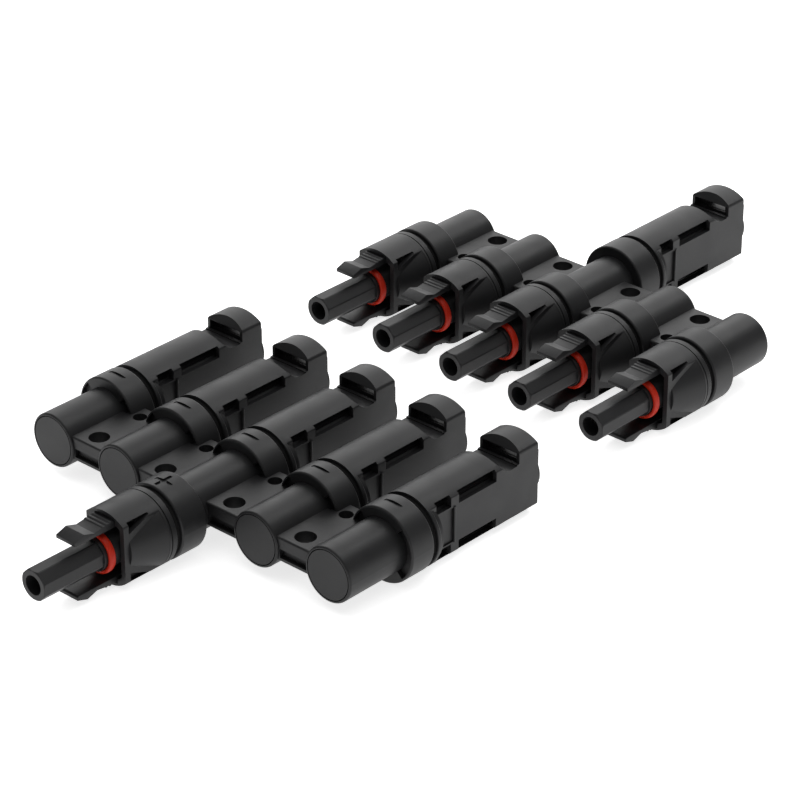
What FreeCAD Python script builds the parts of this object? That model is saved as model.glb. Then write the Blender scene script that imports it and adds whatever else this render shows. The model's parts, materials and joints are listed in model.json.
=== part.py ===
# Mating pair of five-way solar cable connectors.
# The socket block carries five socket shells and one plug, the plug block five plugs and one
# socket shell. Each block is one moulded body over a copper busbar.
#
# Frame: +X across the tubes, +Y from the socket block to the plug block, +Z up, z = 0 at the
# surface that the collars rest on, x = y = 0 at the middle of the whole pair.
# Block frame: y = 0 at the closed tube ends, +y to the five outlets, z = 0 on the tube axes.
# Outlet frame: y = 0 at the collar face, +y outwards, z = 0 on the outlet axis.
import FreeCAD, Part
import os
import re

SIZES = {
    # overall layout
    "pitch": 23.0,
    "mating_gap": 27.2,
    # moulded body
    "tube_radius": 7.1,
    "tube_bore_radius": 5.2,
    "collar_radius": 9.75,
    "body_length": 25.5,
    "collar_length": 7.6,
    "lead_reach": 10.3,
    "lead_collar_length": 8.0,
    "edge_round": 0.5,
    "notch_radius": 9.2,
    "notch_depth": 1.2,
    "notch_top_angle": 46.0,
    "notch_angle": 24.0,
    # webs between the tubes
    "web_top": 3.3,
    "web_bottom": 3.1,
    "web_front": 0.6,
    "web_end": 22.6,
    "web_groove_height": 2.4,
    "web_groove_depth": 1.2,
    "large_hole_radius": 2.65,
    "large_hole_from_end": 4.85,
    "small_hole_radius": 1.8,
    "small_hole_from_end": 18.4,
    # end caps
    "cap_rim": 0.85,
    "cap_thickness": 1.4,
    "cap_gap": 0.25,
    # polarity marks
    "mark_length": 5.2,
    "mark_width": 1.0,
    "mark_depth": 0.5,
    "mark_from_face": 3.6,
    # seal between the collar and the outlet housing
    "gasket_wall": 1.4,
    "gasket_width": 1.5,
    "spigot_radius": 7.4,
    "spigot_length": 6.0,
    "fit_gap": 0.1,
    # outlet housings
    "crown_radius": 9.65,
    "flat_half": 6.2,
    # socket shell
    "shell_length": 40.8,
    "shell_ring_length": 1.1,
    "ring_step_length": 0.8,
    "ring_step": 0.42,
    "panel_end_from_face": 10.5,
    "panel_step": 0.45,
    "rib_radius": 0.4,
    "short_slot_start": 4.4,
    "short_slot_length": 5.2,
    "long_slot_start": 12.3,
    "long_slot_length": 13.3,
    "slot_height": 3.0,
    "slot_over_corner": 0.6,
    "slot_depth": 2.6,
    "void_inner_radius": 6.4,
    "void_outer_radius": 8.5,
    "void_half": 5.0,
    "void_length": 22.5,
    "hood_length": 7.0,
    "hood_rise": 1.4,
    "hood_corner_round": 1.0,
    "hood_lean": 1.15,
    "hood_slot_half": 5.4,
    "hood_slot_low": 6.25,
    "hood_slot_high": 8.8,
    "lip_length": 0.8,
    "pit_depth": 1.05,
    "pit_length": 1.6,
    "scoop_radius": 4.5,
    "scoop_floor": 5.9,
    "scoop_from_hood": 2.6,
    "bottom_notch_start": 12.3,
    "bottom_notch_length": 3.3,
    "hood_slot_length": 2.2,
    "channel_half": 3.4,
    "channel_gap": 0.15,
    "barrel_proud": 0.7,
    "barrel_length": 29.0,
    "mouth_gap": 0.1,
    "mouth_depth": 6.0,
    "nose_clearance": 0.3,
    # plug
    "ring_length": 2.6,
    "ring_groove_start": 3.0,
    "ring_groove": 0.3,
    "frame_from_face": 15.1,
    "plug_wall": 1.65,
    "plug_side_wall": 1.3,
    "plug_cavity_depth": 6.6,
    "frame_width": 1.6,
    "window_length": 6.6,
    "window_height": 2.85,
    "fairing_end": 13.5,
    "fairing_end_radius": 6.9,
    "nose_from_face": 37.5,
    "nose_radius": 4.05,
    "nose_flat_depth": 0.25,
    "nose_bore": 2.5,
    "flange_radius": 4.6,
    "oring_from_tip": 19.8,
    "oring_width": 1.9,
    "oring_radius": 5.35,
    # latch finger
    "finger_tip_from_tip": 10.2,
    "finger_setback": 1.35,
    "finger_half": 3.1,
    "finger_gap": 0.25,
    "finger_thickness": 1.8,
    "finger_ramp_length": 3.1,
    "finger_barb_rise": 0.3,
    "finger_dip": 0.7,
    "knuckle_radius": 0.7,
    # contacts and busbar
    "pin_radius": 2.0,
    "pin_from_face": 33.0,
    "contact_wall": 0.4,
    "contact_from_tip": 4.0,
    "contact_depth": 20.0,
    "shank_radius": 1.6,
    "stop_radius": 3.2,
    "stop_length": 2.0,
    "bus_from_end": 12.0,
    "bus_width": 5.6,
    "bus_thickness": 1.6,
    "boss_radius": 3.0,
    "boss_length": 8.0,
}
OUTLETS = (-2, -1, 0, 1, 2)

# sizes that follow from the driving ones, as formulas of their cells
DERIVED = {
    "cap_radius": "(tube_radius - cap_rim)",
    # height of the corner where a housing's flat side meets its crown
    "corner_height": "sqrt(crown_radius ^ 2 - flat_half ^ 2)",
    "slot_high": "(corner_height + slot_over_corner)",
    "slot_low": "(corner_height + slot_over_corner - slot_height)",
    "hood_radius": "(crown_radius + hood_rise)",
    "window_low": "(corner_height + slot_over_corner - window_height)",
    "nose_flat": "(nose_radius - nose_flat_depth)",
    "mouth_radius": "(oring_radius + mouth_gap)",
    # heights of a latch finger: its outer face at the root, its inner face, the barb and the dip
    "finger_outer": "(crown_radius - finger_setback)",
    "finger_inner": "(finger_outer - finger_thickness)",
    "barb_high": "(finger_outer + finger_barb_rise)",
    "dip_high": "(finger_outer - finger_dip)",
    "channel_low": "(finger_inner - channel_gap)",
}

doc = FreeCAD.newDocument("SolarConnectorPair")
sheet = doc.addObject("Spreadsheet::Sheet", "Sizes")
for row, (alias, value) in enumerate(SIZES.items(), start=1):
    sheet.set("A%d" % row, alias)
    sheet.set("B%d" % row, str(value))
    sheet.setAlias("B%d" % row, alias)
doc.recompute()

ALIASES = re.compile(r"\b(" + "|".join(SIZES) + r")\b")
DERIVED_NAMES = re.compile(r"\b(" + "|".join(DERIVED) + r")\b")
ALONG_Y = FreeCAD.Rotation(FreeCAD.Vector(1, 0, 0), -90)
ALONG_X = FreeCAD.Rotation(FreeCAD.Vector(0, 1, 0), 90)
HALF_TURN = FreeCAD.Rotation(FreeCAD.Vector(0, 0, 1), 180)


# ---- small builders, with every size bound to the sheet ----

def cells(formula):
    """Give a formula in the sheet's own notation, with derived sizes written out."""
    while DERIVED_NAMES.search(formula):
        formula = DERIVED_NAMES.sub(lambda found: DERIVED[found.group(1)], formula)
    return ALIASES.sub(r"Sizes.\1", formula)


def bind(item, **formulas):
    for name, formula in formulas.items():
        item.setExpression(name.replace("__", "."), cells(formula))
    return item


def rod(name, radius, start, length, z="0", x="0"):
    """Cylinder along +Y."""
    item = doc.addObject("Part::Cylinder", name)
    item.Placement = FreeCAD.Placement(FreeCAD.Vector(), ALONG_Y)
    return bind(item, Radius=radius, Height=length, Placement__Base__x=x,
                Placement__Base__y=start, Placement__Base__z=z)


def taper(name, radius, end_radius, start, length):
    """Cone frustum along +Y."""
    item = doc.addObject("Part::Cone", name)
    item.Placement = FreeCAD.Placement(FreeCAD.Vector(), ALONG_Y)
    return bind(item, Radius1=radius, Radius2=end_radius, Height=length, Placement__Base__y=start)


def brick(name, x, y, z):
    """Box between pairs of limits along X, Y and Z."""
    item = doc.addObject("Part::Box", name)
    return bind(item, Length="(%s) - (%s)" % (x[1], x[0]), Width="(%s) - (%s)" % (y[1], y[0]),
                Height="(%s) - (%s)" % (z[1], z[0]), Placement__Base__x=x[0],
                Placement__Base__y=y[0], Placement__Base__z=z[0])


def wedge(name, y, near_x, near_z, far_x, far_z):
    """Block along Y whose near and far faces each have their own limits."""
    item = doc.addObject("Part::Wedge", name)
    return bind(item, Ymin=y[0], Ymax=y[1], Xmin=near_x[0], Xmax=near_x[1], Zmin=near_z[0],
                Zmax=near_z[1], X2min=far_x[0], X2max=far_x[1], Z2min=far_z[0], Z2max=far_z[1])


def both_ways(half):
    return ("-(%s)" % half, half)


def fuse(name, items):
    item = doc.addObject("Part::MultiFuse", name)
    item.Shapes = items
    item.Refine = True
    return item


def cut(name, base, tools):
    """Subtract tools from base, and stop if nothing was removed."""
    tool = tools[0] if len(tools) == 1 else fuse(name + "Tools", tools)
    item = doc.addObject("Part::Cut", name)
    item.Base = base
    item.Tool = tool
    item.Refine = True
    doc.recompute()
    if item.Shape.Volume > base.Shape.Volume - 1e-6:
        raise RuntimeError("%s removes nothing" % name)
    return item


def common(name, base, tool):
    item = doc.addObject("Part::Common", name)
    item.Base = base
    item.Tool = tool
    return item


def soften(name, base, radius, chosen):
    """Round the edges that chosen() accepts."""
    doc.recompute()
    edges = [i for i, edge in enumerate(base.Shape.Edges, start=1) if chosen(edge)]
    item = doc.addObject("Part::Fillet", name)
    item.Base = base
    item.Edges = [(i, radius, radius) for i in edges]
    return item


def is_rim(edge):
    return isinstance(edge.Curve, Part.Circle)


def is_long_edge(edge):
    """True of a straight edge along Y."""
    if not isinstance(edge.Curve, Part.Line):
        return False
    return abs(edge.Curve.Direction.y) > 0.99


# ---- moulded body, busbar, caps and gaskets, in the block frame ----

def make_body():
    skins = []
    hollows = []
    for n in OUTLETS:
        x = "%d * pitch" % n
        tube = rod("Tube", "tube_radius", "0", "body_length - collar_length + 1", x=x)
        skins.append(soften("TubeRounded", tube, SIZES["edge_round"], is_end_rim))
        collar = rod("Collar", "collar_radius", "body_length - collar_length", "collar_length", x=x)
        skins.append(soften("CollarRounded", collar, SIZES["edge_round"], is_rim))
        hollows.append(rod("TubeBore", "tube_bore_radius", "cap_thickness", "body_length", x=x))
        hollows.append(rod("SpigotBore", "spigot_radius + fit_gap",
                           "body_length - spigot_length - fit_gap", "body_length", x=x))
        if n:
            hollows.append(rod("CapSeat", "cap_radius + cap_gap", "-1", "cap_thickness + 1", x=x))
        for side in (1, -1):
            if n == side * OUTLETS[-1]:
                hollows.append(notch(x, side, -1, "2 * notch_top_angle"))
            else:
                hollows += [notch(x, side, level, "notch_angle") for level in (1, -1)]
    lead = rod("LeadCollar", "collar_radius", "-lead_reach", "lead_collar_length")
    skins.append(soften("LeadCollarRounded", lead, SIZES["edge_round"], is_rim))
    skins.append(rod("LeadTube", "tube_radius", "lead_collar_length - lead_reach - 1",
                     "lead_reach - lead_collar_length + 3"))
    hollows.append(rod("LeadBore", "tube_bore_radius", "-lead_reach - 1",
                       "lead_reach + 1 + body_length"))
    hollows.append(rod("LeadSpigotBore", "spigot_radius + fit_gap", "-lead_reach - 1",
                       "spigot_length + fit_gap + 1"))
    for n in OUTLETS[:-1]:
        middle = "%s * pitch" % (n + 0.5)
        x = ("%d * pitch + tube_bore_radius + 0.5" % n, "%d * pitch - tube_bore_radius - 0.5" % (n + 1))
        web = brick("Web", x, ("web_front", "web_end"), ("-web_bottom", "web_top"))
        skins.append(soften("WebRounded", web, SIZES["edge_round"], is_level_edge))
        hollows.append(brick("WebGroove", ("%s - 4.2" % middle, "%s + 4.2" % middle),
                             ("web_front - 1", "web_front + web_groove_depth"),
                             ("-web_bottom + 1", "-web_bottom + 1 + web_groove_height")))
        hollows.append(upright("LargeHole", "large_hole_radius", middle, "large_hole_from_end"))
        hollows.append(upright("SmallHole", "small_hole_radius", middle, "small_hole_from_end"))
    hollows.append(brick("BusSlot", ("%d * pitch" % OUTLETS[0], "%d * pitch" % OUTLETS[-1]),
                         ("bus_from_end - bus_width / 2 - fit_gap",
                          "bus_from_end + bus_width / 2 + fit_gap"),
                         both_ways("bus_thickness / 2 + fit_gap")))
    return cut("BlockBody", fuse("BlockSkin", skins), hollows)


def is_end_rim(edge):
    """True of a tube's rim at the closed end."""
    return is_rim(edge) and abs(edge.CenterOfMass.y) < 1e-6


def is_level_edge(edge):
    """True of a web's straight edges along X."""
    return isinstance(edge.Curve, Part.Line) and abs(edge.Curve.Direction.x) > 0.99


def upright(name, radius, x, y):
    """Hole cutter along Z, right through the webs."""
    item = doc.addObject("Part::Cylinder", name)
    return bind(item, Radius=radius, Height="web_top + web_bottom + 4", Placement__Base__x=x,
                Placement__Base__y=y, Placement__Base__z="-web_bottom - 2")


def notch(x, side, level, span):
    """Sector cutter for a recess in a collar's step face: side 1 or -1, level 1 above the web.

    Beside a web there is one recess above it and one below. A free side has one long recess.
    """
    top, angle = SIZES["notch_top_angle"], SIZES["notch_angle"]
    start = top - angle if level > 0 else -top
    end = start + (angle if span == "notch_angle" else 2 * top)
    last_angle = end if side > 0 else 180 - start
    item = doc.addObject("Part::Cylinder", "Sector")
    turn = FreeCAD.Rotation(FreeCAD.Vector(0, 1, 0), -last_angle)
    item.Placement = FreeCAD.Placement(FreeCAD.Vector(), turn.multiply(ALONG_Y))
    bind(item, Radius="notch_radius", Height="notch_depth + 0.3", Angle=span,
         Placement__Base__x=x, Placement__Base__y="body_length - collar_length - 0.3")
    core = rod("SectorCore", "tube_radius", "body_length - collar_length - 2", "notch_depth + 4", x=x)
    return cut("Notch", item, [core])


def make_end_caps():
    caps = [rod("CapDisc", "cap_radius", "0", "cap_thickness", x="%d * pitch" % n)
            for n in OUTLETS if n]
    return fuse("EndCaps", caps)


def make_busbar():
    """Flat bar through all the webs, with a boss in each tube that takes the contacts' shanks."""
    bar = brick("Bar", ("%d * pitch - boss_radius" % OUTLETS[0], "%d * pitch + boss_radius" % OUTLETS[-1]),
                ("bus_from_end - bus_width / 2", "bus_from_end + bus_width / 2"),
                both_ways("bus_thickness / 2"))
    bosses = []
    bores = []
    for n in OUTLETS:
        x = "%d * pitch" % n
        bosses.append(rod("Boss", "boss_radius", "bus_from_end - boss_length / 2", "boss_length", x=x))
        bores.append(rod("BossBore", "shank_radius", "bus_from_end - boss_length", "2 * boss_length", x=x))
    return cut("Busbar", fuse("BarWithBosses", [bar] + bosses), bores)


def mark_bar(name, x, y, long_way):
    """Cutter for one bar of a polarity mark, sunk into the top of a collar."""
    along = both_ways("mark_length / 2")
    across = both_ways("mark_width / 2")
    x_span, y_span = (along, across) if long_way == "x" else (across, along)
    return brick(name, ("%s + %s" % (x, x_span[0]), "%s + %s" % (x, x_span[1])),
                 ("%s + %s" % (y, y_span[0]), "%s + %s" % (y, y_span[1])),
                 ("collar_radius - mark_depth", "collar_radius + 1"))


def make_polarity_marks():
    marks = [mark_bar("Minus", "%d * pitch" % n, "body_length - mark_from_face", "x") for n in OUTLETS]
    for way in ("x", "y"):
        marks.append(mark_bar("Plus", "0", "mark_from_face - lead_reach", way))
    return marks


# ---- outlet pieces, in the outlet frame ----

def make_gasket():
    ring = rod("GasketDisc", "spigot_radius + gasket_wall", "0", "gasket_width")
    return cut("Gasket", ring, [rod("GasketHole", "spigot_radius + fit_gap", "-1", "gasket_width + 2")])


def flat_sided(name, radius, start, end, round_edges):
    """Stretch of housing: a cylinder cut by two flat sides."""
    round_part = rod(name + "Round", radius, start, "(%s) - (%s)" % (end, start))
    slab = brick(name + "Slab", both_ways("flat_half"), (start, end), both_ways("2 * crown_radius"))
    piece = common(name, round_part, slab)
    if not round_edges:
        return piece
    return soften(name + "Rounded", piece, SIZES["edge_round"], is_long_edge)


def housing_rear(name, ring_length):
    """Round ring against the gasket and the spigot behind it."""
    ring = rod(name + "Ring", "crown_radius", "gasket_width", ring_length)
    spigot = rod(name + "Spigot", "spigot_radius", "-spigot_length", "spigot_length + gasket_width + 1")
    return [soften(name + "RingRounded", ring, SIZES["edge_round"] / 2, is_rim), spigot]


def both_sides(side, near, far):
    """Limits along X of a cutter between two distances from the middle, on side 1 or -1."""
    return (near, far) if side > 0 else ("-(%s)" % far, "-(%s)" % near)


def make_shell():
    """Socket shell: flat-sided crown, release hood on top, and the barrel that takes a nose."""
    top = "shell_length - hood_length"
    crown = flat_sided("ShellCrown", "crown_radius", "gasket_width", "shell_length", True)
    skins = housing_rear("Shell", "shell_ring_length")
    for step in (1, 2):
        skins.append(rod("RingStep", "crown_radius - %d * ring_step" % step, "gasket_width",
                         "shell_ring_length + %d * ring_step_length" % step))
    hood_round = rod("HoodRound", "hood_radius", top, "hood_length")
    hood_slab = brick("HoodSlab", both_ways("flat_half"), (top, "shell_length"), ("0", "hood_radius + 1"))
    hood = soften("HoodCorners", common("Hood", hood_round, hood_slab), SIZES["hood_corner_round"],
                  is_hood_corner)
    hood = soften("HoodRounded", hood, SIZES["edge_round"] * 0.6, is_mouth_rim)
    barrel = rod("ShellBarrel", "channel_low - 0.15", "shell_length - barrel_length",
                 "barrel_length + barrel_proud")
    for side in (1, -1):
        skins.append(rib("SideRib", "%d * (flat_half - 0.1)" % side))
    cuts = make_scoop(top) + [make_void()]
    cuts.append(wedge("HoodLean", (top, "%s + hood_lean" % top), both_ways("flat_half + 1"),
                      ("hood_slot_high + 0.1", "hood_radius + 1"), both_ways("flat_half + 1"),
                      ("hood_radius + 0.1", "hood_radius + 1")))
    for side in (1, -1):
        for start, length in (("short_slot_start", "short_slot_length"),
                              ("long_slot_start", "long_slot_length")):
            for low, high in (("slot_low", "slot_high"), ("-slot_high", "-slot_low")):
                cuts.append(brick("Slot", both_sides(side, "flat_half - slot_depth", "flat_half + 2"),
                                  (start, "%s + %s" % (start, length)), (low, high)))
        cuts.append(brick("PanelStep", both_sides(side, "flat_half - panel_step", "flat_half + 2"),
                          ("gasket_width + shell_ring_length + 2 * ring_step_length",
                           "panel_end_from_face"), both_ways("slot_low - 0.4")))
    cuts.append(brick("BottomNotch", both_ways("flat_half + 2"),
                      ("shell_length - bottom_notch_start",
                       "shell_length - bottom_notch_start + bottom_notch_length"),
                      ("-crown_radius - 2", "-corner_height")))
    cuts.append(brick("HoodSlot", both_ways("hood_slot_half"),
                      ("%s - 0.2" % top, "%s + hood_slot_length" % top),
                      ("hood_slot_low", "hood_slot_high")))
    cuts.append(brick("PitBehindLip", both_ways("hood_slot_half"), (top, "%s + pit_length" % top),
                      ("hood_slot_low - pit_depth", "hood_slot_low + 1")))
    for low, high in (("channel_low", "hood_slot_high - 0.05"), ("-corner_height - 1", "-channel_low")):
        cuts.append(brick("Channel", both_ways("channel_half"), ("%s - 0.1" % top, "shell_length + 1"),
                          (low, high)))
    cuts.append(rod("NoseBore", "nose_radius + nose_clearance", "shell_length - barrel_length + 3",
                    "barrel_length"))
    cuts.append(rod("MouthBore", "mouth_radius", "shell_length + barrel_proud - mouth_depth",
                    "mouth_depth + 1"))
    cuts.append(rod("PinBore", "pin_radius + fit_gap / 2", "-spigot_length - 1", "shell_length"))
    return cut("Shell", fuse("ShellSkin", skins + [crown, hood, barrel]), cuts)


def rib(name, x):
    """Thin upright rib at the end of a side panel."""
    item = doc.addObject("Part::Cylinder", name)
    return bind(item, Radius="rib_radius", Height="2 * slot_low - 0.4", Placement__Base__x=x,
                Placement__Base__y="panel_end_from_face + 0.3", Placement__Base__z="0.2 - slot_low")


def make_scoop(top):
    """Cutters for the hollow across the crown, up to the lip at the foot of the hood."""
    middle = "%s - scoop_from_hood" % top
    drum = doc.addObject("Part::Cylinder", "ScoopDrum")
    drum.Placement = FreeCAD.Placement(FreeCAD.Vector(), ALONG_X)
    bind(drum, Radius="scoop_radius", Height="2 * flat_half + 2", Placement__Base__x="-flat_half - 1",
         Placement__Base__y=middle, Placement__Base__z="scoop_floor + scoop_radius")
    x = both_ways("flat_half + 2")
    before_hood = brick("ScoopLimit", x, ("%s - scoop_radius" % middle, top), ("0", "crown_radius + 2"))
    lip_start = "%s - lip_length" % top
    return [common("Scoop", drum, before_hood),
            brick("ScoopFloor", x, (middle, lip_start), ("scoop_floor + 0.05", "crown_radius + 1")),
            brick("LipTop", x, ("%s - 0.1" % lip_start, top), ("hood_slot_low", "crown_radius + 1"))]


def make_void():
    """Cutter for the hollow between the crown and the barrel, which the corner slots open into."""
    outer = rod("VoidOuter", "void_outer_radius", "short_slot_start + 0.1", "void_length")
    slab = brick("VoidSlab", both_ways("void_half"), ("0", "shell_length"), both_ways("crown_radius"))
    inner = rod("VoidInner", "void_inner_radius", "0", "shell_length")
    return cut("Void", common("VoidBlank", outer, slab), [inner])


def is_hood_corner(edge):
    """True of the hood's long top corners."""
    return is_long_edge(edge) and edge.CenterOfMass.z > 1


def is_mouth_rim(edge):
    """True of the hood's arched rim at the mouth."""
    return is_rim(edge) and abs(edge.CenterOfMass.y - SIZES["shell_length"]) < 1e-6


def make_plug_housing():
    """Plug housing: flat-sided sleeve with corner windows, side fairings, and the nose inside."""
    sleeve = flat_sided("Sleeve", "crown_radius", "gasket_width", "frame_from_face", True)
    fairing = taper("Fairing", "crown_radius - 0.05", "fairing_end_radius", "gasket_width + ring_length",
                    "fairing_end - gasket_width - ring_length")
    skin = fuse("SleeveSkin", housing_rear("Sleeve", "ring_length") + [sleeve, fairing])
    cavity_end = ("frame_from_face - plug_cavity_depth", "frame_from_face + 1")
    cavity_round = rod("CavityRound", "crown_radius - plug_wall", cavity_end[0], "plug_cavity_depth + 1")
    cavity_slab = brick("CavitySlab", both_ways("flat_half - plug_side_wall"),
                        ("0", "frame_from_face + 2"), both_ways("crown_radius"))
    finger_way = brick("FingerWay", both_ways("finger_half + finger_gap"), cavity_end,
                       both_ways("finger_outer + finger_gap"))
    groove_blank = rod("GrooveBlank", "crown_radius + 1", "ring_groove_start", "ring_groove")
    groove_core = rod("GrooveCore", "crown_radius - ring_groove", "0", "frame_from_face")
    hollows = [common("Cavity", cavity_round, cavity_slab), finger_way,
               cut("RingGroove", groove_blank, [groove_core])]
    window_end = "frame_from_face - frame_width"
    for side in (1, -1):
        x = both_sides(side, "flat_half - 2", "flat_half + 2")
        for near_z, far_z in ((("slot_high - 0.4", "slot_high"), ("window_low", "slot_high")),
                              (("-slot_high", "0.4 - slot_high"), ("-slot_high", "-window_low"))):
            hollows.append(wedge("Window", ("%s - window_length" % window_end, window_end),
                                 x, near_z, x, far_z))
    sleeve = cut("SleeveHollow", skin, hollows)
    return cut("PlugHousing", fuse("PlugSolid", [sleeve, make_nose()]),
               [rod("ContactBore", "nose_bore", "-spigot_length - 1", "nose_from_face + spigot_length + 2")])


def make_nose():
    """Eight-sided nose with a round shoulder under the O-ring and a flange behind it."""
    shoulder = ("0", "nose_from_face - oring_from_tip + oring_width / 2 + 0.8")
    nose = fuse("Nose", [
        rod("NoseRound", "nose_radius", "0", "nose_from_face"),
        rod("NoseFlange", "flange_radius", "0", "nose_from_face - oring_from_tip - oring_width / 2"),
        rod("NoseShoulder", "nose_radius + 0.25", *shoulder)])
    octagon = doc.addObject("Part::Prism", "NoseOctagon")
    turn = FreeCAD.Rotation(FreeCAD.Vector(0, 1, 0), 22.5)
    octagon.Placement = FreeCAD.Placement(FreeCAD.Vector(), turn.multiply(ALONG_Y))
    octagon.Polygon = 8
    bind(octagon, Circumradius="nose_flat / cos(22.5)", Height="nose_from_face")
    envelope = fuse("NoseEnvelope", [octagon, rod("NoseRear", "2 * nose_radius", *shoulder)])
    return common("NoseFlats", soften("NoseRounded", nose, SIZES["edge_round"], is_nose_tip), envelope)


def is_nose_tip(edge):
    return is_rim(edge) and abs(edge.CenterOfMass.y - SIZES["nose_from_face"]) < 1e-6


def make_oring():
    """Square-section seal with rounded rims, stretched on the nose's shoulder."""
    start = "nose_from_face - oring_from_tip - oring_width / 2"
    ring = soften("ORingRounded", rod("ORingRound", "oring_radius", start, "oring_width"), 0.45, is_rim)
    return cut("ORing", ring, [rod("ORingHole", "nose_radius + 0.25", "0", "nose_from_face")])


def make_finger(name, side):
    """Latch finger on its knuckle: side 1 is the upper one and -1 the lower one."""
    def z_span(outer):
        return ("finger_inner", outer) if side > 0 else ("-(%s)" % outer, "-finger_inner")
    hinge = "frame_from_face - plug_cavity_depth + knuckle_radius + fit_gap"
    tip = "nose_from_face - finger_tip_from_tip"
    knuckle = doc.addObject("Part::Cylinder", name + "Knuckle")
    knuckle.Placement = FreeCAD.Placement(FreeCAD.Vector(), ALONG_X)
    bind(knuckle, Radius="knuckle_radius", Height="2 * finger_half",
         Placement__Base__x="-finger_half", Placement__Base__y=hinge,
         Placement__Base__z="%d * (finger_outer - finger_thickness / 2)" % side)
    # distance from the collar face and outer height, from the knuckle to the tip
    profile = ((hinge, "finger_outer"), ("frame_from_face", "finger_outer"),
               ("%s - 2 * finger_ramp_length" % tip, "dip_high"),
               ("%s - finger_ramp_length" % tip, "barb_high"), (tip, "dip_high"))
    x = both_ways("finger_half")
    lengths = [wedge(name + "Length", (start, end), x, z_span(near), x, z_span(far))
               for (start, near), (end, far) in zip(profile, profile[1:])]
    return fuse(name, [knuckle] + lengths)


def make_contact_rear(name, bus_distance):
    """Stop collar and shank behind a contact, down to the busbar's centre line."""
    stop = rod(name + "Stop", "stop_radius", "-spigot_length - stop_length", "stop_length")
    shank = rod(name + "Shank", "shank_radius", "-(%s)" % bus_distance, "%s" % bus_distance)
    return [stop, shank]


def make_pin(name, bus_distance):
    round_pin = rod(name + "Round", "pin_radius", "-spigot_length - 1", "pin_from_face + spigot_length + 1")
    pin = soften(name + "Tip", round_pin, SIZES["pin_radius"] * 0.6, is_front_rim)
    return fuse(name, [pin] + make_contact_rear(name, bus_distance))


def is_front_rim(edge):
    return is_rim(edge) and edge.CenterOfMass.y > 1


def make_contact(name, bus_distance):
    tube = rod(name + "Tube", "pin_radius + contact_wall", "-spigot_length - 1",
               "nose_from_face - contact_from_tip + spigot_length + 1")
    solid = fuse(name + "Solid", [tube] + make_contact_rear(name, bus_distance))
    bore = rod(name + "Bore", "pin_radius", "nose_from_face - contact_depth", "contact_depth + 1")
    return cut(name, solid, [bore])


# ---- layout of the pair ----

# the pair's length, from the tip of the lead plug to the mouth of the lead socket
PAIR_LENGTH = ("(2 * lead_reach + 2 * nose_from_face + 2 * body_length + 2 * shell_length"
               " + mating_gap + barrel_proud)")
# closed tube ends of the two blocks
SOCKET_BLOCK = "(lead_reach + nose_from_face - %s / 2)" % PAIR_LENGTH
PLUG_BLOCK = "(%s / 2 - lead_reach - shell_length - barrel_proud)" % PAIR_LENGTH
# collar faces
SOCKET_OUTLETS = "%s + body_length" % SOCKET_BLOCK
SOCKET_LEAD = "%s - lead_reach" % SOCKET_BLOCK
PLUG_OUTLETS = "%s - body_length" % PLUG_BLOCK
PLUG_LEAD = "%s + lead_reach" % PLUG_BLOCK

nodes = []


def copy_of(master, name, y, n, turned):
    """Copy of a master shape in the pair, facing +Y or turned to face -Y."""
    item = doc.addObject("Part::Compound", name)
    item.Links = [master]
    item.Placement = FreeCAD.Placement(FreeCAD.Vector(), HALF_TURN if turned else FreeCAD.Rotation())
    return bind(item, Placement__Base__x="%d * pitch" % n, Placement__Base__y=y,
                Placement__Base__z="collar_radius")


def place(name, master, y, n=0, turned=False):
    """Put one node of the pair in place. Its name is also its label."""
    nodes.append(copy_of(master, name, y, n, turned))


def place_gaskets(name, outlets_y, lead_y, outlets_turned):
    """All six gaskets of one block, as one node."""
    rings = [copy_of(gasket, name + "Ring", outlets_y, n, outlets_turned) for n in OUTLETS]
    rings.append(copy_of(gasket, name + "Ring", lead_y, 0, not outlets_turned))
    item = doc.addObject("Part::Compound", name)
    item.Links = rings
    nodes.append(item)


body = make_body()
marked_body = cut("MarkedBody", body, make_polarity_marks())
end_caps = make_end_caps()
busbar = make_busbar()
gasket = make_gasket()
shell = make_shell()
plug_housing = make_plug_housing()
oring = make_oring()
finger_upper = make_finger("FingerUpper", 1)
finger_lower = make_finger("FingerLower", -1)
outlet_bus = "body_length - bus_from_end"
lead_bus = "lead_reach + bus_from_end"
pin = make_pin("Pin", outlet_bus)
lead_pin = make_pin("LeadPin", lead_bus)
contact = make_contact("Contact", outlet_bus)
lead_contact = make_contact("LeadContact", lead_bus)

# socket block
place("socket_block_body", marked_body, SOCKET_BLOCK)
place("socket_block_end_caps", end_caps, SOCKET_BLOCK)
place("socket_block_busbar", busbar, SOCKET_BLOCK)
place_gaskets("socket_block_gaskets", SOCKET_OUTLETS, SOCKET_LEAD, False)
for number, n in enumerate(OUTLETS, start=1):
    place("socket_shell_%d" % number, shell, SOCKET_OUTLETS, n)
    place("socket_pin_%d" % number, pin, SOCKET_OUTLETS, n)
place("lead_plug_housing", plug_housing, SOCKET_LEAD, turned=True)
place("lead_plug_contact", lead_contact, SOCKET_LEAD, turned=True)
place("lead_plug_oring", oring, SOCKET_LEAD, turned=True)
place("lead_plug_finger_upper", finger_upper, SOCKET_LEAD, turned=True)
place("lead_plug_finger_lower", finger_lower, SOCKET_LEAD, turned=True)

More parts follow.
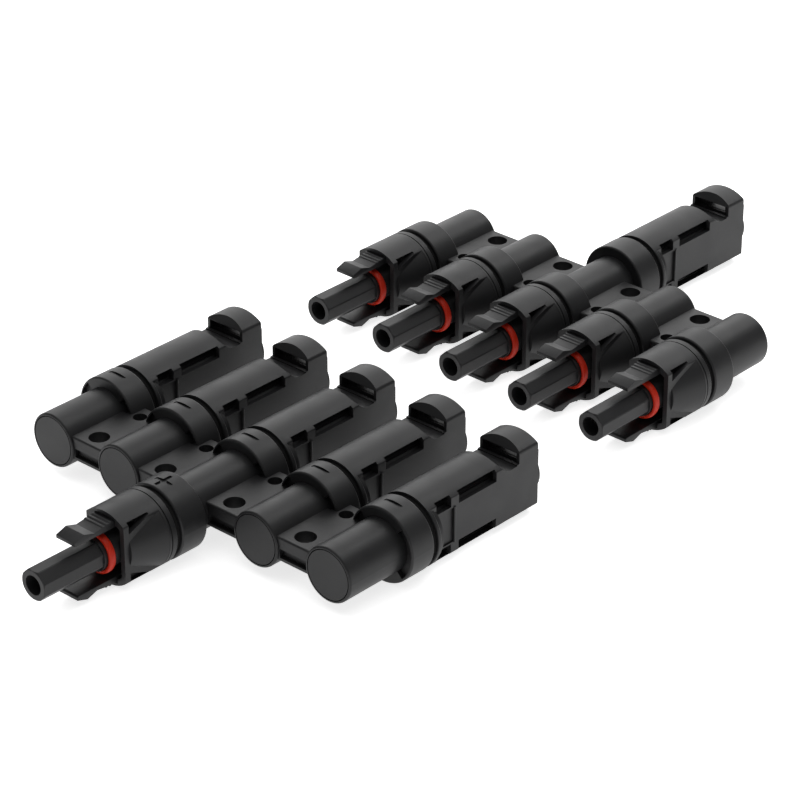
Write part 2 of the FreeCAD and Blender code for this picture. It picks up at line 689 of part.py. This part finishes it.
# plug block, turned to face the socket block
place("plug_block_body", body, PLUG_BLOCK, turned=True)
place("plug_block_end_caps", end_caps, PLUG_BLOCK, turned=True)
place("plug_block_busbar", busbar, PLUG_BLOCK, turned=True)
place_gaskets("plug_block_gaskets", PLUG_OUTLETS, PLUG_LEAD, True)
for number, n in enumerate(OUTLETS, start=1):
    place("plug_housing_%d" % number, plug_housing, PLUG_OUTLETS, n, True)
    place("plug_contact_%d" % number, contact, PLUG_OUTLETS, n, True)
    place("plug_oring_%d" % number, oring, PLUG_OUTLETS, n, True)
    place("plug_finger_upper_%d" % number, finger_upper, PLUG_OUTLETS, n, True)
    place("plug_finger_lower_%d" % number, finger_lower, PLUG_OUTLETS, n, True)
place("lead_socket_shell", shell, PLUG_LEAD)
place("lead_socket_pin", lead_pin, PLUG_LEAD)

doc.recompute()
failed = [item.Label for item in doc.Objects if {"Invalid", "Error"} & set(item.State)]
if failed:
    raise RuntimeError("these objects failed: %s" % failed)
for item in nodes:
    if item.Shape.isNull() or not item.Shape.isValid() or not item.Shape.Solids:
        raise RuntimeError("%s has no valid solid" % item.Label)

os.makedirs("parts", exist_ok=True)
for item in nodes:
    item.Shape.exportStep("parts/%s.step" % item.Label)
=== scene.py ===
import json
import math

import bmesh
import bpy
from mathutils import Matrix, Vector


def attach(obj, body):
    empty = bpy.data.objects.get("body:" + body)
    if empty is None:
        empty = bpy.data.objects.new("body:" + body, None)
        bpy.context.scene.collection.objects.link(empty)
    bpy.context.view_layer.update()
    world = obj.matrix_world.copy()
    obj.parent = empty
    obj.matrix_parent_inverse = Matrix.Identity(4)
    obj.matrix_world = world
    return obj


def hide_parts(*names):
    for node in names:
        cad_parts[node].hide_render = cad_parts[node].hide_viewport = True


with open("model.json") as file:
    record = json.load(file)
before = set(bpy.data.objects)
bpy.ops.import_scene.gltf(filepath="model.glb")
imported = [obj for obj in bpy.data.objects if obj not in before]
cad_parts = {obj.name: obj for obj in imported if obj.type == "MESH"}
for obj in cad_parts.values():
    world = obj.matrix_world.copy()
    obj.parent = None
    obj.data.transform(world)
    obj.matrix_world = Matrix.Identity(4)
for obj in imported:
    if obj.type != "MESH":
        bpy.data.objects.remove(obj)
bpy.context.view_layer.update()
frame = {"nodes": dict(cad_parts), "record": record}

MM = 0.001


# ---- camera: a long lens, looking down on the pair across its socket block ----

CAMERA_AIM = Vector((14.57, -21.51, 19.6)) * MM
CAMERA_DISTANCE = 790.5 * MM
CAMERA_AZIMUTH = math.radians(42.37)
CAMERA_ELEVATION = math.radians(28.72)
CAMERA_LENS_MM = 146.9
CAMERA_SENSOR_MM = 36.0


def make_camera():
    data = bpy.data.cameras.new("camera")
    data.lens = CAMERA_LENS_MM
    data.sensor_width = CAMERA_SENSOR_MM
    data.clip_start = 0.05
    data.clip_end = 20.0
    camera = bpy.data.objects.new("camera", data)
    bpy.context.scene.collection.objects.link(camera)
    back = Vector((math.sin(CAMERA_AZIMUTH) * math.cos(CAMERA_ELEVATION),
                   -math.cos(CAMERA_AZIMUTH) * math.cos(CAMERA_ELEVATION),
                   math.sin(CAMERA_ELEVATION)))
    camera.location = CAMERA_AIM + back * CAMERA_DISTANCE
    camera.rotation_euler = back.to_track_quat("Z", "Y").to_euler()
    bpy.context.scene.camera = camera


# ---- materials ----

def linear(hex_colour):
    """sRGB hex, such as "3a3a3b", as linear RGBA."""
    channels = [int(hex_colour[i:i + 2], 16) / 255 for i in (0, 2, 4)]
    return tuple(c / 12.92 if c <= 0.04045 else ((c + 0.055) / 1.055) ** 2.4 for c in channels) + (1.0,)


def add_node(tree, kind, inputs=None, **settings):
    """Add a node, set its properties, and set or link its inputs."""
    node = tree.nodes.new(kind)
    for name, value in settings.items():
        setattr(node, name, value)
    for name, value in (inputs or {}).items():
        if isinstance(value, bpy.types.NodeSocket):
            tree.links.new(value, node.inputs[name])
        else:
            node.inputs[name].default_value = value
    return node


def new_material(name):
    material = bpy.data.materials.new(name)
    material.use_nodes = True
    tree = material.node_tree
    tree.nodes.clear()
    return material, tree


def finish_material(tree, shader):
    add_node(tree, "ShaderNodeOutputMaterial", {"Surface": shader.outputs["BSDF"]})


def patterns(tree, grain_mm, cloud_mm):
    """Fine grain and soft clouds in the object's own millimetres, each from 0 to 1."""
    place = add_node(tree, "ShaderNodeTexCoord").outputs["Object"]
    grain = add_node(tree, "ShaderNodeTexNoise",
                     {"Vector": place, "Scale": 1 / (grain_mm * MM), "Detail": 3.0, "Roughness": 0.62})
    clouds = add_node(tree, "ShaderNodeTexNoise",
                      {"Vector": place, "Scale": 1 / (cloud_mm * MM), "Detail": 4.0, "Roughness": 0.55,
                       "Distortion": 0.6})
    return grain.outputs["Fac"], clouds.outputs["Fac"]


def between(tree, pattern, low, high):
    """Stretch the middle of a noise pattern over a range of values."""
    return add_node(tree, "ShaderNodeMapRange", {"Value": pattern, "From Min": 0.32, "From Max": 0.68,
                                                 "To Min": low, "To Max": high}).outputs["Result"]


def mix_colours(tree, pattern, dark, light):
    mix = add_node(tree, "ShaderNodeMix", {"Factor": pattern}, data_type="RGBA")
    mix.inputs["A"].default_value = linear(dark)
    mix.inputs["B"].default_value = linear(light)
    return mix.outputs["Result"]


def bump(tree, pattern, height_mm, strength):
    return add_node(tree, "ShaderNodeBump", {"Height": pattern, "Strength": strength,
                                             "Distance": height_mm * MM}).outputs["Normal"]


def moulded_nylon(name, dark, light, roughness, grain_mm, grain_height_mm):
    """Glass-filled black nylon as it leaves a spark-eroded mould: a fine even grain that turns the
    highlights satin, with faint cloudy flow marks that change the tone and the gloss a little."""
    material, tree = new_material(name)
    grain, clouds = patterns(tree, grain_mm, 9.0)
    shader = add_node(tree, "ShaderNodeBsdfPrincipled", {
        "Base Color": mix_colours(tree, clouds, dark, light),
        "Roughness": between(tree, clouds, roughness - 0.03, roughness + 0.05),
        "IOR": 1.5, "Specular IOR Level": 0.3, "Normal": bump(tree, grain, grain_height_mm, 0.3)})
    finish_material(tree, shader)
    return material


def gasket_rubber_painted_shade():
    """Moulded EPDM rubber with a soft bloom that keeps it matt even at low angles. Its near-black
    colour, darker than the nylon, is also painted shade for the deep groove round each collar.
    """
    material, tree = new_material("epdm_rubber_painted_groove_shade")
    grain, clouds = patterns(tree, 0.5, 4.0)
    shader = add_node(tree, "ShaderNodeBsdfPrincipled", {
        # near black: the rubber's own colour, darkened further as painted shade for the collar groove
        "Base Color": mix_colours(tree, clouds, "070707", "0b0b0b"),
        "Roughness": between(tree, clouds, 0.75, 0.85), "IOR": 1.3,
        "Normal": bump(tree, grain, 0.02, 0.4)})
    finish_material(tree, shader)
    return material


def moulded_silicone():
    """Pigmented silicone moulded in a polished tool: deep orange-red, with a soft glow under the
    surface and a broad soft highlight."""
    material, tree = new_material("moulded_silicone_seal")
    grain, clouds = patterns(tree, 0.6, 2.5)
    shader = add_node(tree, "ShaderNodeBsdfPrincipled", {
        "Base Color": mix_colours(tree, clouds, "a01c08", "b4260e"),
        "Roughness": between(tree, clouds, 0.42, 0.52), "IOR": 1.41, "Specular IOR Level": 0.3,
        "Subsurface Weight": 0.12, "Subsurface Scale": 0.4 * MM,
        "Normal": bump(tree, grain, 0.01, 0.2)})
    finish_material(tree, shader)
    return material


def tinned_copper():
    """Machined copper with a matt tin plating: a grey metal, dulled in patches by handling, with
    fine turning marks round its axis that stretch the highlights along it. The grey is darker than
    bright tin, as painted shade for the inside of the plug noses where the contacts sit."""
    material, tree = new_material("tinned_copper_painted_bore_shade")
    grain, clouds = patterns(tree, 0.8, 3.0)
    place = add_node(tree, "ShaderNodeTexCoord").outputs["Object"]
    turning = add_node(tree, "ShaderNodeTexWave", {"Vector": place, "Scale": 1 / (0.9 * MM),
                                                   "Distortion": 1.5, "Detail": 2.0},
                       bands_direction="Y").outputs["Fac"]
    shader = add_node(tree, "ShaderNodeBsdfPrincipled", {
        # darkened grey: painted shade inside the nose bores, with patches dulled by handling
        "Base Color": mix_colours(tree, clouds, "6e6a64", "96918a"), "Metallic": 1.0,
        "Roughness": between(tree, grain, 0.28, 0.42), "Normal": bump(tree, turning, 0.01, 0.25)})
    finish_material(tree, shader)
    return material


def main_materials():
    return {
        "body_moulding": moulded_nylon("moulded_nylon_body", "161617", "1d1d1e", 0.44, 0.35, 0.025),
        "housing_moulding": moulded_nylon("moulded_nylon_housing", "171718", "1f1f20", 0.45, 0.30, 0.025),
        "gasket_rubber": gasket_rubber_painted_shade(),
        "seal_silicone": moulded_silicone(),
        "tinned_copper": tinned_copper(),
    }


materials = main_materials()
slot_of = {entry["node"]: entry["material_slot"] for entry in frame["record"]["subparts"]}
for node, item in frame["nodes"].items():
    item.data.materials.clear()
    item.data.materials.append(materials[slot_of[node]])


# ---- pieces made here, each in its own outlet's frame: v outwards from the collar face ----
# Sizes from here to the floor are in mm, and those of the outlets are the frame's own.

PITCH = 23.0
AXIS_HEIGHT = 9.75
OUTLET_FACE = 50.75
LEAD_FACE = -90.55
NOSE_LENGTH = 37.5


def outlet_matrix(number):
    """Outlet frame to the pair's frame, in mm: number 1 to 5 on the plug block, 0 for the lead plug."""
    x = (number - 3) * PITCH if number else 0.0
    y = OUTLET_FACE if number else LEAD_FACE
    return Matrix.Translation((x, y, AXIS_HEIGHT)) @ Matrix.Rotation(math.pi, 4, "Z")


def add_piece(name, mesh_builder, number, body, node, slot_name):
    """Build a piece in its outlet's frame, and let it ride and stand for its CAD node."""
    shape = mesh_builder()
    shape.transform(Matrix.Scale(MM, 4) @ outlet_matrix(number))
    mesh = bpy.data.meshes.new(name)
    shape.to_mesh(mesh)
    shape.free()
    mesh.materials.append(materials[slot_name])
    piece = bpy.data.objects.new(name, mesh)
    bpy.context.scene.collection.objects.link(piece)
    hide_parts(node)
    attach(piece, body)


RING_FROM_TIP = 19.8
RING_INNER = 4.3
RING_OUTER = 5.35
RING_WIDTH = 1.9
RING_FLASH = 0.04
RING_STEPS_AROUND = 128
RING_STEPS_ACROSS = 28
# under 1, these powers flatten the section's sides and its crown
RING_SIDE_POWER = 0.62
RING_CROWN_POWER = 0.75


def ring_shape():
    """Moulded seal: a rounded section with a fine parting line round its crown."""
    shape = bmesh.new()
    around, across = RING_STEPS_AROUND, RING_STEPS_ACROSS
    middle = NOSE_LENGTH - RING_FROM_TIP
    middle_radius = (RING_INNER + RING_OUTER) / 2
    half_height = (RING_OUTER - RING_INNER) / 2
    loops = []
    for i in range(around):
        turn = 2 * math.pi * i / around
        loop = []
        for j in range(across):
            angle = 2 * math.pi * j / across
            c, s = math.cos(angle), math.sin(angle)
            v = math.copysign(abs(c) ** RING_SIDE_POWER, c) * RING_WIDTH / 2
            out = math.copysign(abs(s) ** RING_CROWN_POWER, s) * half_height
            flash = RING_FLASH if j == across // 4 else 0.0
            radius = middle_radius + out + flash
            loop.append(shape.verts.new((radius * math.cos(turn), middle + v, radius * math.sin(turn))))
        loops.append(loop)
    for i in range(around):
        one, two = loops[i], loops[(i + 1) % around]
        for j in range(across):
            k = (j + 1) % across
            shape.faces.new((one[j], one[k], two[k], two[j])).smooth = True
    bmesh.ops.recalc_face_normals(shape, faces=shape.faces)
    return shape


FINGER_HALF = 3.1
FINGER_OUTER = 8.3
FINGER_INNER = 6.5
FINGER_HINGE = 9.3
FINGER_FRAME = 15.1
FINGER_TIP = 27.3
FINGER_RAMP = 3.1
FINGER_BARB = 8.6
FINGER_DIP = 7.6
FINGER_TIP_CHAMFER = (0.5, 0.25)
FINGER_EDGE_ROUND = 0.09
KNUCKLE_RADIUS = 0.7
# grip ridges: how many, their pitch, the first one's place past the frame, and one ridge as
# (distance along, height over the surface)
RIDGE_COUNT = 3
RIDGE_PITCH = 1.15
RIDGE_START = 0.5
RIDGE_PROFILE = ((0.0, 0.0), (0.22, 0.2), (0.62, 0.17), (0.84, -0.05))


def finger_outline():
    """Side view of the upper finger, as (v, z), from its knuckle round to its underside."""
    middle = (FINGER_OUTER + FINGER_INNER) / 2
    points = [(FINGER_HINGE - KNUCKLE_RADIUS * math.sin(math.radians(a)),
               middle + (FINGER_OUTER - middle) * math.cos(math.radians(a)))
              for a in range(180, -1, -30)]
    # ridges of the pad in front of the frame
    dip_start = FINGER_TIP - 2 * FINGER_RAMP
    for i in range(RIDGE_COUNT):
        left = FINGER_FRAME + RIDGE_START + RIDGE_PITCH * i
        drop = (left - FINGER_FRAME) / (dip_start - FINGER_FRAME)
        surface = FINGER_OUTER + (FINGER_DIP - FINGER_OUTER) * drop
        points += [(left + along, surface + height) for along, height in RIDGE_PROFILE]
    chamfer_v, chamfer_z = FINGER_TIP_CHAMFER
    points += [(dip_start, FINGER_DIP), (FINGER_TIP - FINGER_RAMP, FINGER_BARB), (FINGER_TIP, FINGER_DIP),
               (FINGER_TIP, FINGER_INNER + chamfer_z), (FINGER_TIP - chamfer_v, FINGER_INNER)]
    return points


def finger_shape(side):
    """Latch finger with softened edges: side 1 is the upper one and -1 the lower one."""
    shape = bmesh.new()
    outline = [(v, side * z) for v, z in finger_outline()]
    ends = [[shape.verts.new((x, v, z)) for v, z in outline] for x in (-FINGER_HALF, FINGER_HALF)]
    shape.faces.new(ends[0])
    shape.faces.new(ends[1])
    count = len(outline)
    for i in range(count):
        k = (i + 1) % count
        shape.faces.new((ends[0][i], ends[0][k], ends[1][k], ends[1][i]))
    bmesh.ops.recalc_face_normals(shape, faces=shape.faces)
    sharp = [edge for edge in shape.edges if edge.calc_face_angle(0) > math.radians(12)]
    bmesh.ops.bevel(shape, geom=sharp, offset=FINGER_EDGE_ROUND, segments=3, profile=0.5, affect="EDGES",
                    clamp_overlap=True)
    for face in shape.faces:
        face.smooth = True
    return shape


def make_plug_details():
    for number in range(6):
        suffix = "_%d" % number if number else ""
        start = "plug" if number else "lead_plug"
        block = "plug_block" if number else "socket_block"
        add_piece("seal%s" % (suffix or "_lead"), ring_shape, number, block, "%s_oring%s" % (start, suffix),
                  "seal_silicone")
        for level, side in (("upper", 1), ("lower", -1)):
            body = "finger_%s%s" % (level, suffix) if number else "lead_finger_%s" % level
            add_piece("latch_%s%s" % (level, suffix or "_lead"), lambda side=side: finger_shape(side),
                      number, body, "%s_finger_%s%s" % (start, level, suffix), "housing_moulding")


make_plug_details()


# ---- floor, lights and sky ----

FLOOR_HALF_MM = 4000.0
# strength of the floor's painted glow, which lifts the shadows on it
FLOOR_PAINTED_GLOW = 0.74
SKY_STRENGTH = 0.28


def make_floor():
    """Pale floor with a painted glow: its emission keeps the shadows under the object pale."""
    material, tree = new_material("floor_painted_glow")
    grain, clouds = patterns(tree, 3.0, 60.0)
    shader = add_node(tree, "ShaderNodeBsdfPrincipled", {
        "Base Color": mix_colours(tree, clouds, "f4f4f4", "f9f9f9"), "Roughness": 0.9,
        # emission: a painted glow that lifts the shadows the object casts on the floor
        "Emission Color": linear("ffffff"), "Emission Strength": FLOOR_PAINTED_GLOW,
        "Normal": bump(tree, grain, 0.02, 0.1)})
    finish_material(tree, shader)
    half = FLOOR_HALF_MM * MM
    mesh = bpy.data.meshes.new("floor")
    mesh.from_pydata([(-half, -half, 0), (half, -half, 0), (half, half, 0), (-half, half, 0)], [],
                     [(0, 1, 2, 3)])
    mesh.materials.append(material)
    floor = bpy.data.objects.new("floor", mesh)
    bpy.context.scene.collection.objects.link(floor)


def add_softbox(name, place_mm, aim_mm, size_mm, watts):
    data = bpy.data.lights.new(name, "AREA")
    data.shape = "RECTANGLE"
    data.size = size_mm[0] * MM
    data.size_y = size_mm[1] * MM
    data.energy = watts
    light = bpy.data.objects.new(name, data)
    light.location = Vector(place_mm) * MM
    direction = Vector(place_mm) - Vector(aim_mm)
    light.rotation_euler = direction.to_track_quat("Z", "Y").to_euler()
    bpy.context.scene.collection.objects.link(light)


def make_sky():
    world = bpy.data.worlds.new("studio")
    world.use_nodes = True
    world.node_tree.nodes["Background"].inputs["Color"].default_value = (1, 1, 1, 1)
    world.node_tree.nodes["Background"].inputs["Strength"].default_value = SKY_STRENGTH
    bpy.context.scene.world = world


make_camera()
make_floor()
add_softbox("top_softbox", (0, 0, 1100), (0, 0, 0), (1500, 1500), 6.4)
add_softbox("back_panel", (-430, 640, 400), (0, 0, 0), (1000, 700), 4.4)
add_softbox("back_strip", (120, 650, 750), (0, 0, 0), (260, 420), 1.4)
make_sky()
bpy.context.scene.view_settings.view_transform = "Standard"
